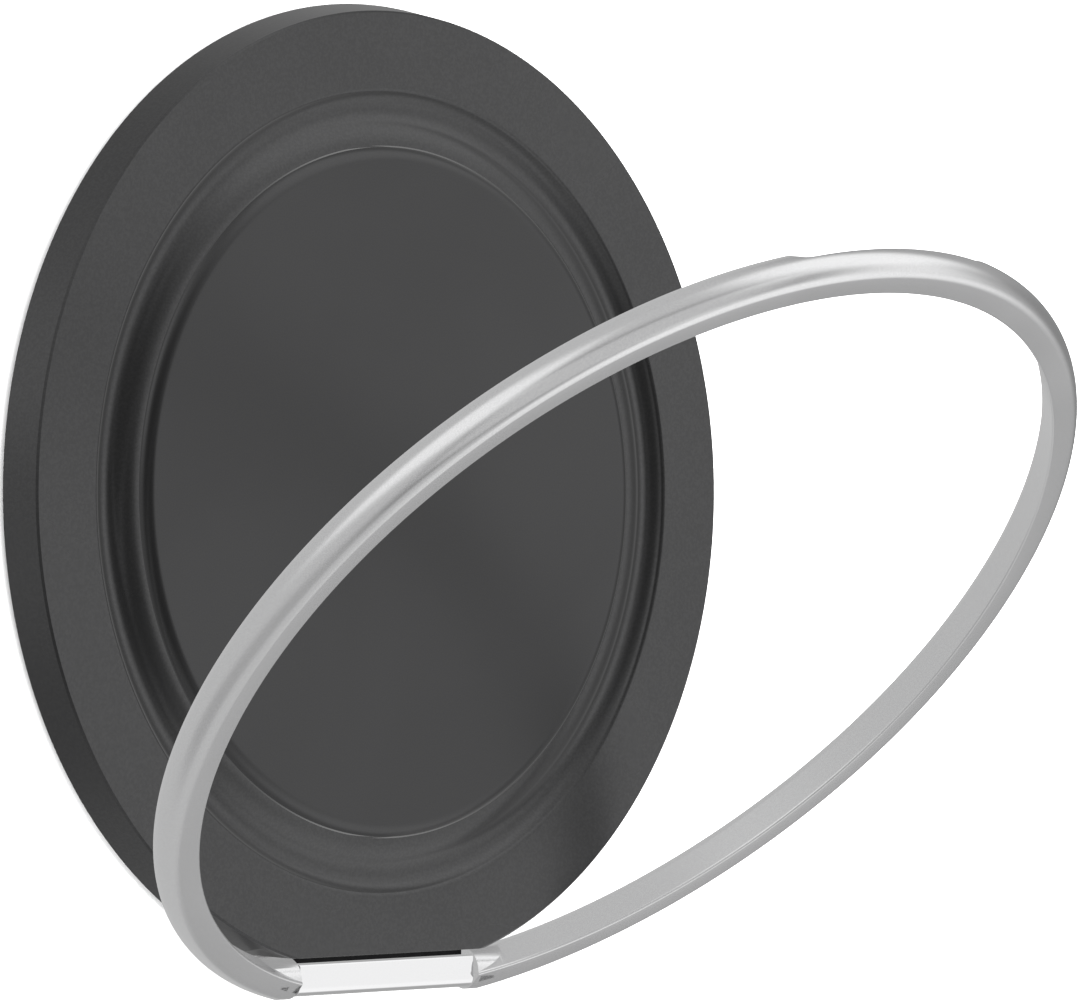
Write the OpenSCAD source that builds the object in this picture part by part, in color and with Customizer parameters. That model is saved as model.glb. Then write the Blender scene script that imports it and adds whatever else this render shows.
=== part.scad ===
// Magnetic phone grip, lying on its back with the ring standing open.
// Origin: centre of the pad face that rests on the phone. +Z points out of the front,
// +X runs along the hinge and +Y runs from the hinge to the far side of the disc.
// Millimetres and degrees.

/* [Disc] */
// Radius of the flat front face
face_r = 28; // [26:0.5:32]
// Height of the tapered side wall
wall_h = 2.3; // [2.2:0.1:3.2]
// Extra radius of the back edge over the front face
wall_flare = 0.6; // [0.3:0.05:0.9]
// Size of the chamfer round the front face
edge_chamfer = 0.12; // [0.05:0.01:0.25]
// Depth of the flat cut at the hinge, from the front face's radius
cut_depth = 1; // [0.8:0.05:1.6]
// How much further in the flat cut lies at the back than at the front
cut_lean = 0.35; // [0.3:0.05:0.5]

/* [Finger groove] */
// Depth of the groove below the front face
groove_depth = 0.65; // [0.4:0.05:0.8]
// Radius of the soft lip on the groove's inner side
lip_round = 2.3; // [1.5:0.1:3]
// Radius of the hollow of the groove
hollow_r = 1.3; // [0.9:0.1:1.6]
// Radius of the groove's outer edge
groove_edge = 0.35; // [0.2:0.05:0.5]

/* [Centre cap] */
// Radius of the raised centre cap
cap_r = 20.15; // [18:0.05:20.4]
// Height of the cap above the front face
cap_raise = 0.44; // [0.2:0.02:0.7]
// Radius of the rounding round the cap's top
cap_round = 0.95; // [0.75:0.05:1.4]
// Depth of the cap below the front face
cap_seat = 0.8; // [0.6:0.05:1]
// Gap of the seam round the cap
seam_gap = 0.08; // [0.04:0.01:0.15]

/* [Magnets and back] */
// Number of arc magnets in the open ring
magnet_count = 14; // [10:1:16]
// Angle that the open side of the magnet ring leaves for the hinge
magnet_open_angle = 45; // [40:1:60]
// Angle left between two magnets
magnet_rib_angle = 2.2; // [1.5:0.1:4]
// Radial width of a magnet
magnet_w = 3; // [2.2:0.1:3.2]
// Thickness of a magnet
magnet_t = 0.75; // [0.5:0.05:0.8]
// Thickness of the steel shield
shield_t = 0.3; // [0.2:0.05:0.4]
// Thickness of the back cover
cover_t = 0.4; // [0.3:0.05:0.6]
// Thickness of the soft back pad
pad_t = 0.4; // [0.3:0.05:0.8]
// Thickness of each adhesive film
film_t = 0.1; // [0.05:0.01:0.15]

/* [Hinge] */
// Width of the gap between the flat cut and the hinge barrel
cut_gap = 0.34; // [0.25:0.01:0.5]
// Width of the barrel, away from the disc
barrel_w = 1.9; // [1.8:0.05:2.2]
// Height of the barrel
barrel_h = 2.2; // [2:0.05:2.4]
// Rounding of the barrel's outer edges
barrel_round = 0.6; // [0.3:0.05:0.8]
// Rounding of the barrel's edges beside the disc
barrel_inner_round = 0.15; // [0.05:0.05:0.3]
// Gap between the barrel and each end of the ring
end_gap = 0.1; // [0.06:0.01:0.2]
// Radius of each hinge pin
pin_r = 0.4; // [0.3:0.05:0.45]
// Length of a pin inside the ring
pin_grip = 2; // [1.2:0.1:2.2]
// Length of a friction sleeve
sleeve_l = 5; // [3:0.5:5.5]
// Wall of a friction sleeve
sleeve_t = 0.18; // [0.12:0.01:0.2]
// Width of the slit along a friction sleeve
sleeve_slit = 0.25; // [0.15:0.05:0.4]
// Distance from each end of the barrel to the side of its tongue
tongue_inset = 0.15; // [0.1:0.05:1]
// Length of the tongue beyond the flat cut
tongue_l = 3.1; // [2.6:0.1:3.2]
// Thickness of the tongue
tongue_t = 0.8; // [0.6:0.05:0.9]
// Radius of a tongue screw's shank
screw_r = 0.5; // [0.35:0.05:0.6]
// Radius of a tongue screw's head
screw_head_r = 0.9; // [0.7:0.05:1]
// Distance between the two tongue screws
screw_pitch = 9; // [6:0.5:10]

/* [Ring] */
// Angle that the ring stands open from the disc
open_angle = 45; // [0:5:110]
// Radial gap between the folded ring and the disc
ring_gap = 0.22; // [0.15:0.01:0.4]
// Radial width of the ring
ring_w = 2.13; // [1.9:0.01:2.4]
// Thickness of the ring
ring_t = 2.35; // [2:0.05:2.4]
// Radius of the ring's rounded outside
dome_r = 1.32; // [1.15:0.01:1.4]
// How far the folded ring's flat face lies below the front face
ring_drop = 0.15; // [0.1:0.05:0.4]
// Width of the slope along the ring's inner back edge
heel_w = 0.32; // [0.15:0.01:0.5]
// Height of that slope
heel_h = 0.42; // [0.2:0.01:0.6]
// Rounding of the ring's inner front edge
ring_round = 0.25; // [0.15:0.01:0.35]
// Length of the round knuckle at each end of the ring
knuckle_l = 2.5; // [2.3:0.1:3]
// Angle that the thumb notch takes of the ring
thumb_angle = 30; // [16:1:50]
// Thickness that the thumb notch leaves at the ring's outside
thumb_left_t = 1.48; // [1.2:0.02:1.8]
// Depth of the notch into the ring's outside
thumb_depth = 0.17; // [0.1:0.01:0.3]

/* [Fits] */
// Running gap round a pin or between sliding faces
run_gap = 0.02; // [0.01:0.01:0.04]
// Gap round a piece that is pressed or glued in
fix_gap = 0.01; // [0.01:0.01:0.03]
// Gap round a piece that drops into its pocket
seat_gap = 0.05; // [0.03:0.01:0.08]
// Gap between the ring's knuckles and the disc as the ring swings
swing_gap = 0.1; // [0.08:0.01:0.15]

/* [Hidden] */
$fn = 144;
// Overlap used where one cut has to run past a face
eps = 0.5;

// Levels, counted up from the phone
back_z = pad_t + film_t;
front_z = back_z + wall_h;
cover_z = back_z + cover_t;
shield_z = cover_z + magnet_t;
channel_z = shield_z + shield_t + film_t;
cap_z = front_z - cap_seat;
cap_top_z = front_z + cap_raise;

// Disc outline
back_r = face_r + wall_flare;
wall_slope = (wall_flare - edge_chamfer) / (wall_h - edge_chamfer);
cut_y = cut_depth - face_r;
cut_back_y = cut_y + cut_lean;
cut_slope = cut_lean / wall_h;
back_lip = 1;
cover_r = back_r - back_lip;
cut_lip = 0.5;
cover_y = cut_back_y + cut_lip;
pad_inset = 0.8;
pad_r = cover_r - pad_inset;
pad_y = cover_y + pad_inset;
film_inset = 0.3;

// Magnet channel, measured inward from the cover's edge
channel_wall = 0.4;
channel_out_r = cover_r - channel_wall;
channel_rim = 0.35;
magnet_out_r = channel_out_r - seat_gap - channel_rim;
magnet_in_r = magnet_out_r - magnet_w;
channel_in_r = magnet_in_r - channel_rim - seat_gap;
magnet_pitch = (360 - magnet_open_angle) / magnet_count;
magnet_span = magnet_pitch - magnet_rib_angle;
channel_start = -90 + magnet_open_angle / 2;
channel_span = 360 - magnet_open_angle;
channel_end_angle = 1;

// Cap: its rounded edge stands on a short upright land
cap_land = 0.02;
cap_edge_r = cap_r - sqrt(pow(cap_round, 2) - pow(cap_round - cap_raise + cap_land, 2));

// Groove: a soft lip that rolls down from the seam into a round hollow
pocket_r = cap_r + seam_gap;
lip_flat = 0.05;
lip_r = pocket_r + lip_flat;
lip_angle = acos(1 - groove_depth / (lip_round + hollow_r));
lip_end = [lip_r + lip_round * sin(lip_angle), front_z - lip_round * (1 - cos(lip_angle))];
hollow_c = [lip_end[0] + hollow_r * sin(lip_angle), lip_end[1] + hollow_r * cos(lip_angle)];
edge_reach = hollow_r + groove_edge;
edge_drop = hollow_c[1] - front_z + groove_edge;
edge_c = [hollow_c[0] + sqrt(pow(edge_reach, 2) - pow(edge_drop, 2)), front_z - groove_edge];
edge_start = hollow_c + (edge_c - hollow_c) * hollow_r / edge_reach;

// Hinge: its axis lies in the middle of the barrel and of the folded ring
hinge_y = cut_y - cut_gap - barrel_w / 2;
flat_z = front_z - ring_drop;
ring_bottom_z = flat_z - ring_t;
hinge_z = (flat_z + ring_bottom_z) / 2;
ring_in_r = face_r + edge_chamfer + ring_gap;
ring_out_r = ring_in_r + ring_w;
dome_c = [ring_out_r - dome_r, ring_bottom_z + dome_r];
ring_mid_r = (ring_in_r + ring_out_r) / 2;
ring_end_x = sqrt(pow(ring_mid_r, 2) - pow(hinge_y, 2)) + end_gap / 2;
barrel_x = ring_end_x - end_gap;
bore_r = pin_r + run_gap + sleeve_t + fix_gap;
bore_l = sleeve_l + 2 * run_gap;
pin_in_x = barrel_x - sleeve_l;
pin_out_x = ring_end_x + pin_grip;
pin_end_gap = 0.1;

// Tongue: it lies on the back cover, in a slot through the disc's flat cut
tongue_w = 2 * (barrel_x - tongue_inset);
tongue_end_y = cut_y + tongue_l;
tongue_z = cover_z + tongue_t;
screw_y = cut_y + tongue_l * 0.58;
screw_end_z = tongue_z + 0.6;
screw_head_h = 0.35;

// Ring section: the rounding of its inner front edge touches the flat face and the drafted wall
draft = atan(wall_slope);
round_c = [ring_in_r + wall_slope * ring_round + ring_round / cos(draft), flat_z - ring_round];
round_end = round_c - ring_round * [cos(draft), sin(draft)];
heel_z = ring_bottom_z + heel_h;
heel_r = ring_in_r + wall_slope * (flat_z - heel_z);

// Ring ends: a knuckle round the hinge axis swings past the disc, and the outside is cut
// flush with the barrel, with a rounding that leaves a little land on the flat face
knuckle_r = cut_y + cut_slope * (front_z - hinge_z) - swing_gap - hinge_y;
knuckle_in_r = ring_in_r - knuckle_r;
knuckle_out_r = (heel_r + heel_w + dome_c[0]) / 2;
trim_round = barrel_w / 2;
trim_land = 0.02;
trim_c_z = ring_t / 2 - trim_round + trim_land;

// Thumb notch in the ring's outer back edge, opposite the hinge
thumb_wall_r = ring_out_r - thumb_depth;
thumb_corner_z = flat_z - thumb_left_t;
thumb_in_r = dome_c[0] - 0.2;

function two_digits(i) = str(i < 10 ? "0" : "", i);
MAGNETS = [for (i = [1:magnet_count]) str("magnet_", two_digits(i))];

// Everything on the far side of a line parallel to the flat cut
module behind(y, r) {
    translate([-r, y]) square([2 * r, 2 * r]);
}

// A flat round sheet with its own straight edge beside the hinge
module cut_sheet(r, y, z, t) {
    translate([0, 0, z]) linear_extrude(t) intersection() {
        circle(r);
        behind(y, r);
    }
}

// A flat arc, from start and over span degrees
module arc_bar(r_in, r_out, z, t, start, span) {
    rotate(start) rotate_extrude(angle = span) translate([r_in, z]) square([r_out - r_in, t]);
}

module at_hinge() {
    translate([0, hinge_y, hinge_z]) children();
}

// A rod along X, from x and over length l
module x_rod(r, x, l) {
    translate([x, 0, 0]) rotate([0, 90, 0]) cylinder(h = l, r = r);
}

// A form along X, from x and over length l, whose flat outline lies across it, in Y and Z
module x_form(x, l) {
    translate([x, 0, 0]) rotate([90, 0, 90]) linear_extrude(l) children();
}

module disc_profile() {
    polygon([
        [0, back_z],
        [back_r, back_z],
        [face_r + edge_chamfer, front_z - edge_chamfer],
        [face_r, front_z],
        [0, front_z]
    ]);
}

module groove_profile() {
    difference() {
        translate([lip_r, lip_end[1]]) square([lip_end[0] - lip_r, front_z - lip_end[1] + eps]);
        translate([lip_r, front_z - lip_round]) circle(lip_round);
    }
    translate(hollow_c) circle(hollow_r);
    difference() {
        translate(edge_start) square([edge_c[0] - edge_start[0], front_z - edge_start[1] + eps]);
        translate(edge_c) circle(groove_edge);
    }
}

module tongue_outline(gap) {
    translate([-tongue_w / 2 - gap, hinge_y]) square([tongue_w + 2 * gap, tongue_end_y - hinge_y + gap]);
}

module at_screws() {
    for (side = [-1, 1]) translate([side * screw_pitch / 2, screw_y, cover_z]) children();
}

module screw_form(gap) {
    cylinder(h = screw_head_h, r1 = screw_head_r + gap, r2 = screw_r + gap);
    cylinder(h = screw_end_z - cover_z + gap, r = screw_r + gap);
}

module disc_housing() {
    color([0.27, 0.27, 0.28]) difference() {
        rotate_extrude() difference() {
            disc_profile();
            groove_profile();
            translate([0, cap_z - film_t]) square([pocket_r, wall_h]);
        }
        x_form(-back_r, 2 * back_r) polygon([
            [cut_y - cut_slope * eps, front_z + eps],
            [cut_back_y + cut_slope * eps, back_z - eps],
            [-2 * back_r, back_z - eps],
            [-2 * back_r, front_z + eps]
        ]);
        cut_sheet(cover_r, cover_y, back_z - eps, cover_t + eps);
        arc_bar(channel_in_r, channel_out_r, back_z, channel_z - back_z, channel_start, channel_span);
        translate([0, 0, cover_z]) linear_extrude(tongue_t + seat_gap) tongue_outline(seat_gap);
        at_screws() cylinder(h = screw_end_z - cover_z + seat_gap, r = screw_r + fix_gap);
    }
}

module centre_cap() {
    color([0.25, 0.25, 0.26]) rotate_extrude() difference() {
        translate([0, cap_z]) square([cap_r, cap_top_z - cap_z]);
        difference() {
            translate([cap_edge_r, front_z]) square([cap_r, cap_raise + eps]);
            translate([cap_edge_r, cap_top_z - cap_round]) circle(cap_round);
        }
    }
}

module cap_film() {
    color([0.85, 0.85, 0.8]) translate([0, 0, cap_z - film_t]) cylinder(h = film_t, r = cap_r - film_inset);
}

module shield_plate() {
    color([0.6, 0.6, 0.62]) arc_bar(channel_in_r + seat_gap, channel_out_r - seat_gap, shield_z, shield_t,
        channel_start + channel_end_angle, channel_span - 2 * channel_end_angle);
}

module magnet_carrier() {
    color([0.15, 0.15, 0.16]) difference() {
        arc_bar(channel_in_r + seat_gap, channel_out_r - seat_gap, cover_z, magnet_t,
            channel_start + channel_end_angle, channel_span - 2 * channel_end_angle);
        for (i = [1:magnet_count]) {
            pocket_angle = atan(seat_gap / magnet_in_r);
            arc_bar(magnet_in_r - fix_gap, magnet_out_r + fix_gap, cover_z - eps, magnet_t + 2 * eps,
                magnet_start(i) - pocket_angle, magnet_span + 2 * pocket_angle);
        }
    }
}

function magnet_start(i) = channel_start + (i - 1) * magnet_pitch + magnet_rib_angle / 2;

module magnet(i) {
    color([0.7, 0.7, 0.72]) arc_bar(magnet_in_r, magnet_out_r, cover_z, magnet_t, magnet_start(i), magnet_span);
}

module back_cover() {
    color([0.2, 0.2, 0.21]) cut_sheet(cover_r - seat_gap, cover_y + seat_gap, back_z, cover_t);
}

module pad_film() {
    color([0.85, 0.85, 0.8]) cut_sheet(pad_r - film_inset, pad_y + film_inset, pad_t, film_t);
}

module back_pad() {
    color([0.12, 0.12, 0.13]) cut_sheet(pad_r, pad_y, 0, pad_t);
}

// The barrel's section: soft on the outside, nearly square beside the disc
module barrel_profile() {
    difference() {
        square([barrel_w, barrel_h], center = true);
        for (up = [-1, 1]) {
            translate([-barrel_w / 2, up * barrel_h / 2]) square(2 * barrel_round, center = true);
            translate([barrel_w / 2, up * barrel_h / 2]) square(2 * barrel_inner_round, center = true);
        }
    }
    for (up = [-1, 1]) {
        translate([barrel_round - barrel_w / 2, up * (barrel_h / 2 - barrel_round)]) circle(barrel_round);
        translate([barrel_w / 2 - barrel_inner_round, up * (barrel_h / 2 - barrel_inner_round)])
            circle(barrel_inner_round);
    }
}

module hinge_barrel() {
    color([0.9, 0.9, 0.9]) difference() {
        union() {
            at_hinge() x_form(-barrel_x, 2 * barrel_x) barrel_profile();
            translate([0, 0, cover_z]) linear_extrude(tongue_t) tongue_outline(0);
        }
        for (side = [0, 1]) mirror([side, 0, 0]) at_hinge() x_rod(bore_r, barrel_x - bore_l, bore_l + eps);
        at_screws() screw_form(seat_gap);
    }
}

module tongue_screws() {
    color([0.5, 0.5, 0.52]) at_screws() screw_form(0);
}

module friction_sleeve() {
    color([0.75, 0.7, 0.5]) at_hinge() difference() {
        x_rod(bore_r - fix_gap, pin_in_x, sleeve_l);
        x_rod(pin_r + run_gap, pin_in_x - eps, sleeve_l + 2 * eps);
        translate([pin_in_x - eps, -sleeve_slit / 2, 0]) cube([sleeve_l + 2 * eps, sleeve_slit, bore_r]);
    }
}

module friction_sleeve_right() friction_sleeve();

module friction_sleeve_left() mirror([1, 0, 0]) friction_sleeve();

// Turns the ring and its pins about the hinge, from folded to open
module opened() {
    at_hinge() rotate([open_angle, 0, 0]) translate([0, -hinge_y, -hinge_z]) children();
}

module hinge_pin() {
    color([0.65, 0.65, 0.67]) opened() at_hinge() x_rod(pin_r, pin_in_x, pin_out_x - pin_in_x);
}

module hinge_pin_right() hinge_pin();

module hinge_pin_left() mirror([1, 0, 0]) hinge_pin();

// The ring's section: flat in front, drafted like the disc inside, rounded outside and behind
module ring_profile() {
    intersection() {
        translate(dome_c) circle(dome_r);
        union() {
            translate(round_c) circle(ring_round);
            polygon([
                [round_c[0], flat_z],
                round_c,
                round_end,
                [heel_r, heel_z],
                [heel_r + heel_w, ring_bottom_z],
                [ring_out_r + eps, ring_bottom_z],
                [ring_out_r + eps, flat_z]
            ]);
        }
    }
}

module thumb_notch() {
    rotate(90 - thumb_angle / 2) rotate_extrude(angle = thumb_angle) polygon([
        [thumb_wall_r, flat_z + eps],
        [ring_out_r + eps, flat_z + eps],
        [ring_out_r + eps, ring_bottom_z - eps],
        [thumb_in_r, ring_bottom_z - eps],
        [thumb_in_r, ring_bottom_z],
        [thumb_wall_r, thumb_corner_z]
    ]);
}

// A section swept round the disc, from one ring end to the other
module ring_sweep() {
    end_angle = asin(ring_end_x / ring_out_r) - 1;
    rotate(-90 + end_angle) rotate_extrude(angle = 360 - 2 * end_angle) children();
}

// What a knuckle adds to the inside of the ring
module knuckle() {
    intersection() {
        at_hinge() x_rod(knuckle_r, ring_end_x - eps, knuckle_l + eps);
        ring_sweep() translate([knuckle_in_r, ring_bottom_z]) square([knuckle_out_r - knuckle_in_r, ring_t]);
    }
}

// What goes from the outside of a ring end
module trim_profile() {
    difference() {
        translate([-ring_w, -ring_t]) square([ring_w, 2 * ring_t]);
        translate([-trim_round, -ring_t]) square([trim_round, ring_t + trim_c_z]);
        translate([0, trim_c_z]) circle(trim_round);
    }
}

module grip_ring() {
    color([0.78, 0.78, 0.79]) opened() difference() {
        union() {
            ring_sweep() ring_profile();
            for (side = [0, 1]) mirror([side, 0, 0]) knuckle();
        }
        translate([-ring_end_x, hinge_y - ring_w * 2, 0]) cube([2 * ring_end_x, ring_w * 4, front_z]);
        for (side = [0, 1]) mirror([side, 0, 0]) at_hinge() {
            x_form(ring_end_x - eps, knuckle_l + eps) trim_profile();
            x_rod(pin_r + fix_gap, ring_end_x - eps, pin_grip + pin_end_gap + eps);
        }
        thumb_notch();
    }
}

disc_housing();
centre_cap();
cap_film();
shield_plate();
magnet_carrier();
for (i = [1:magnet_count]) magnet(i);
back_cover();
pad_film();
back_pad();
hinge_barrel();
tongue_screws();
friction_sleeve_left();
friction_sleeve_right();
hinge_pin_left();
hinge_pin_right();
grip_ring();
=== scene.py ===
"""Magnetic phone grip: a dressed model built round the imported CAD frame."""

import logging
import math
from dataclasses import dataclass
from enum import Enum

import bmesh
import bpy
from mathutils import Matrix, Vector


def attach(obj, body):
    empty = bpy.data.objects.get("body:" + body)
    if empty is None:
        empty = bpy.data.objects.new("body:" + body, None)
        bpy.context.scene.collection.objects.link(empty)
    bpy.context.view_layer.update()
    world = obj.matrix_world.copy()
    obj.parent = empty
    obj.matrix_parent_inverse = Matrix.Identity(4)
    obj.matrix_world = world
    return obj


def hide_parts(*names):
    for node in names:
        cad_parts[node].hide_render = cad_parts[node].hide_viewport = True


# Millimetres and micrometres in metres
MM = 0.001
MICRO = 0.000001

# How far a cutter runs past what it cuts, and how close counts as touching, in millimetres
PAST = 0.5
TOUCH = 0.001

# Vertices closer than this are one, in millimetres
DOUBLE = 0.0005

# Two places along an axis closer than this are the same, and two heights, in metres
SAME = 0.0000001
LEVEL = 0.00000001

# Edges that turn by less than this many degrees are shaded smooth
SMOOTH_BELOW = 32.0

# Places round a full turn of the disc, and round the ring
DISC_STEPS = 360
RING_STEPS = 400

# Where the hinge axis crosses the YZ plane, in millimetres
HINGE_Y = -28.29
HINGE_Z = 1.475

# Input numbers of the Mix node's two colours, and of its colour output
FIRST_COLOUR, SECOND_COLOUR, MIXED_COLOUR = 6, 7, 2

LOG = logging.getLogger("phone_grip")

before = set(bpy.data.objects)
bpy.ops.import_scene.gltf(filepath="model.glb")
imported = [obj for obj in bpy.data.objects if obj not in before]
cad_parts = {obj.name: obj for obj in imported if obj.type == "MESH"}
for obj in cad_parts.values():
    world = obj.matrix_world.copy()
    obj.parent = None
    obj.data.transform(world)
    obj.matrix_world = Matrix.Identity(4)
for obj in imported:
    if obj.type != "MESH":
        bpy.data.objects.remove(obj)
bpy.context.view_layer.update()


class Body(Enum):
    """The CAD bodies that pieces ride on."""

    BASE = "base"
    RING = "ring"


class Slot(Enum):
    """The record's material slot names; no piece here is given one."""

    HOUSING = "charcoal_metal"
    CAP = "charcoal_cap"
    RING = "satin_steel"
    BARREL = "polished_steel"
    PAD = "pad_rubber"
    COVER = "cover_plastic"


# Working in mesh


def rotation_at(axis: str, degrees: float, centre: Vector) -> Matrix:
    """Turn about an axis through a point.

    Args:
        axis: "X", "Y" or "Z".
        degrees: Angle by the right-hand rule.
        centre: A point on the axis, in metres.

    Returns:
        The 4x4 matrix of the turn.
    """
    turn = Matrix.Rotation(math.radians(degrees), 4, axis)
    return Matrix.Translation(centre) @ turn @ Matrix.Translation(-centre)


class SectionPen:
    """Draws a section in the XZ plane with operators, then spins it about Z.

    X is the radius. A turn of the pen is clockwise when it is positive, with the radius
    to the right and Z up. All sizes are in millimetres.
    """

    def __init__(self, r: float, z: float) -> None:
        """Put the pen down at a radius and a height."""
        self.bm = bmesh.new()
        self.first = bmesh.ops.create_vert(self.bm, co=self.point(r, z))["vert"][0]
        self.tip = self.first

    @staticmethod
    def point(r: float, z: float) -> Vector:
        """Return the point at a radius and a height, in metres."""
        return Vector((r * MM, 0.0, z * MM))

    def line(self, r: float, z: float) -> "SectionPen":
        """Draw a straight line to a radius and a height, and return the pen."""
        made = bmesh.ops.extrude_vert_indiv(self.bm, verts=[self.tip])
        self.tip = made["verts"][0]
        bmesh.ops.translate(self.bm, verts=[self.tip], vec=self.point(r, z) - self.tip.co)
        return self

    def arc(self, r: float, z: float, degrees: float, steps: int) -> "SectionPen":
        """Draw an arc about a centre.

        Args:
            r: Radius of the arc's centre.
            z: Height of the arc's centre.
            degrees: Angle of the arc, clockwise if positive.
            steps: Number of edges in the arc.

        Returns:
            The pen.
        """
        made = bmesh.ops.spin(
            self.bm,
            geom=[self.tip],
            cent=self.point(r, z),
            axis=(0.0, 1.0, 0.0),
            angle=math.radians(degrees),
            steps=steps,
            use_merge=False,
            use_duplicate=False,
        )
        self.tip = [g for g in made["geom_last"] if isinstance(g, bmesh.types.BMVert)][0]
        return self

    def close(self) -> "SectionPen":
        """Join the tip to the first point, and return the pen."""
        bmesh.ops.contextual_create(self.bm, geom=[self.tip, self.first])
        return self

    def spin(
        self, start: float = 0.0, sweep: float = 360.0, steps: int = DISC_STEPS
    ) -> bmesh.types.BMesh:
        """Turn the section about Z and close what is open.

        Args:
            start: Angle of the section's first place.
            sweep: Angle that it is turned through.
            steps: Number of places round the turn.

        Returns:
            The bmesh of a closed form with its faces outward.
        """
        bm = self.bm
        turn = Matrix.Rotation(math.radians(start), 3, "Z")
        bmesh.ops.rotate(bm, verts=bm.verts[:], cent=(0, 0, 0), matrix=turn)
        bmesh.ops.spin(
            bm,
            geom=bm.verts[:] + bm.edges[:],
            cent=(0, 0, 0),
            axis=(0, 0, 1),
            angle=math.radians(sweep),
            steps=steps,
            use_merge=sweep >= 360.0,
            use_duplicate=False,
        )
        return close_form(bm)

    def draw_out(self, x: float, length: float, y: float, z: float) -> bmesh.types.BMesh:
        """Fill the section, whose radius turns to lie along Y, and draw it out along X.

        Args:
            x: Where it starts.
            length: How far it goes.
            y: Where the section's zero radius lies along Y.
            z: Where its zero height lies.

        Returns:
            The bmesh of a closed form with its faces outward.
        """
        bm = self.bm
        face = bmesh.ops.contextual_create(bm, geom=bm.edges[:])["faces"][0]
        made = bmesh.ops.extrude_face_region(bm, geom=[face])
        tips = [g for g in made["geom"] if isinstance(g, bmesh.types.BMVert)]
        bmesh.ops.translate(bm, verts=tips, vec=(0, -length * MM, 0))
        turn = Matrix.Rotation(math.pi / 2, 4, "Z")
        place = Matrix.Translation(Vector((x, y, z)) * MM) @ turn
        bmesh.ops.transform(bm, matrix=place, verts=bm.verts[:])
        return close_form(bm)


def close_form(bm: bmesh.types.BMesh) -> bmesh.types.BMesh:
    """Merge doubles, fill open outlines and turn the faces outward, and return the bmesh."""
    bmesh.ops.remove_doubles(bm, verts=bm.verts[:], dist=DOUBLE * MM)
    bmesh.ops.holes_fill(bm, edges=[e for e in bm.edges if e.is_boundary], sides=0)
    bmesh.ops.recalc_face_normals(bm, faces=bm.faces[:])
    return bm


def slice_off(bm: bmesh.types.BMesh, point: Vector, normal: Vector) -> None:
    """Cut away what lies on a plane's normal side, and fill the cut.

    Args:
        bm: The form.
        point: A point on the plane, in metres.
        normal: The side that goes.
    """
    bmesh.ops.bisect_plane(
        bm,
        geom=bm.verts[:] + bm.edges[:] + bm.faces[:],
        plane_co=point,
        plane_no=normal,
        clear_outer=True,
        clear_inner=False,
    )
    close_form(bm)


def sharp_edges(bm: bmesh.types.BMesh, degrees: float) -> list[bmesh.types.BMEdge]:
    """Return the edges at which the surface turns by more than an angle."""
    limit = math.radians(degrees)
    return [e for e in bm.edges if len(e.link_faces) == 2 and e.calc_face_angle(0.0) > limit]


def soften(
    bm: bmesh.types.BMesh, edges: list[bmesh.types.BMEdge], width: float, segments: int
) -> None:
    """Round edges.

    Args:
        bm: The form.
        edges: The edges to round.
        width: Distance of the rounding's ends from the edge, in millimetres.
        segments: Number of faces across the rounding.
    """
    bmesh.ops.bevel(
        bm,
        geom=edges,
        offset=width * MM,
        offset_type="OFFSET",
        segments=segments,
        profile=0.5,
        affect="EDGES",
        clamp_overlap=True,
        material=-1,
    )


def outline_plate(r: float, cut_y: float, z: float, t: float, edge: float) -> bmesh.types.BMesh:
    """Make a round plate with one straight side.

    Args:
        r: Radius.
        cut_y: Place of the straight side along Y.
        z: Height of the lower face.
        t: Thickness.
        edge: Rounding of its edges, or 0.

    Returns:
        The plate's bmesh.
    """
    bm = SectionPen(r, z).line(r, z + t).spin()
    slice_off(bm, Vector((0, cut_y * MM, 0)), Vector((0, -1, 0)))
    if edge:
        soften(bm, sharp_edges(bm, 40.0), edge, 3)
    return bm


def rod(r: float, x: float, length: float, y: float, z: float, sides: int = 48) -> bmesh.types.BMesh:
    """Make a round rod along X from x, with its axis at y and z, and return its bmesh."""
    bm = bmesh.new()
    middle = Matrix.Translation(Vector((x + length / 2, y, z)) * MM)
    place = middle @ Matrix.Rotation(math.pi / 2, 4, "Y")
    bmesh.ops.create_cone(
        bm,
        cap_ends=True,
        segments=sides,
        radius1=r * MM,
        radius2=r * MM,
        depth=length * MM,
        matrix=place,
    )
    return bm


def block(low: Vector, high: Vector) -> bmesh.types.BMesh:
    """Make a block between two corners in millimetres, and return its bmesh."""
    bm = bmesh.new()
    size = (high - low) * MM
    place = Matrix.Translation((low + high) * MM / 2) @ Matrix.Diagonal((*size, 1.0))
    bmesh.ops.create_cube(bm, size=1.0, matrix=place)
    return bm


def to_object(bm: bmesh.types.BMesh, name: str) -> bpy.types.Object:
    """Turn a bmesh into an object at the origin, and return it."""
    mesh = bpy.data.meshes.new(name)
    bm.to_mesh(mesh)
    bm.free()
    made = bpy.data.objects.new(name, mesh)
    bpy.context.scene.collection.objects.link(made)
    return made


def carve(piece: bpy.types.Object, tool: bmesh.types.BMesh, operation: str = "DIFFERENCE") -> None:
    """Join a form to a piece, cut it from the piece or keep what they share.

    Args:
        piece: The piece, whose mesh is replaced.
        tool: The other form, which is used up.
        operation: "DIFFERENCE", "UNION" or "INTERSECT".
    """
    cutter = to_object(tool, "cutter")
    work = piece.modifiers.new("carve", "BOOLEAN")
    work.operation = operation
    work.solver = "EXACT"
    work.object = cutter
    bpy.context.view_layer.update()
    shown = bpy.context.evaluated_depsgraph_get()
    made = bpy.data.meshes.new_from_object(piece.evaluated_get(shown))
    piece.modifiers.clear()
    old = piece.data
    made.name = old.name
    piece.data = made
    bpy.data.meshes.remove(old)
    bpy.data.objects.remove(cutter)


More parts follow.
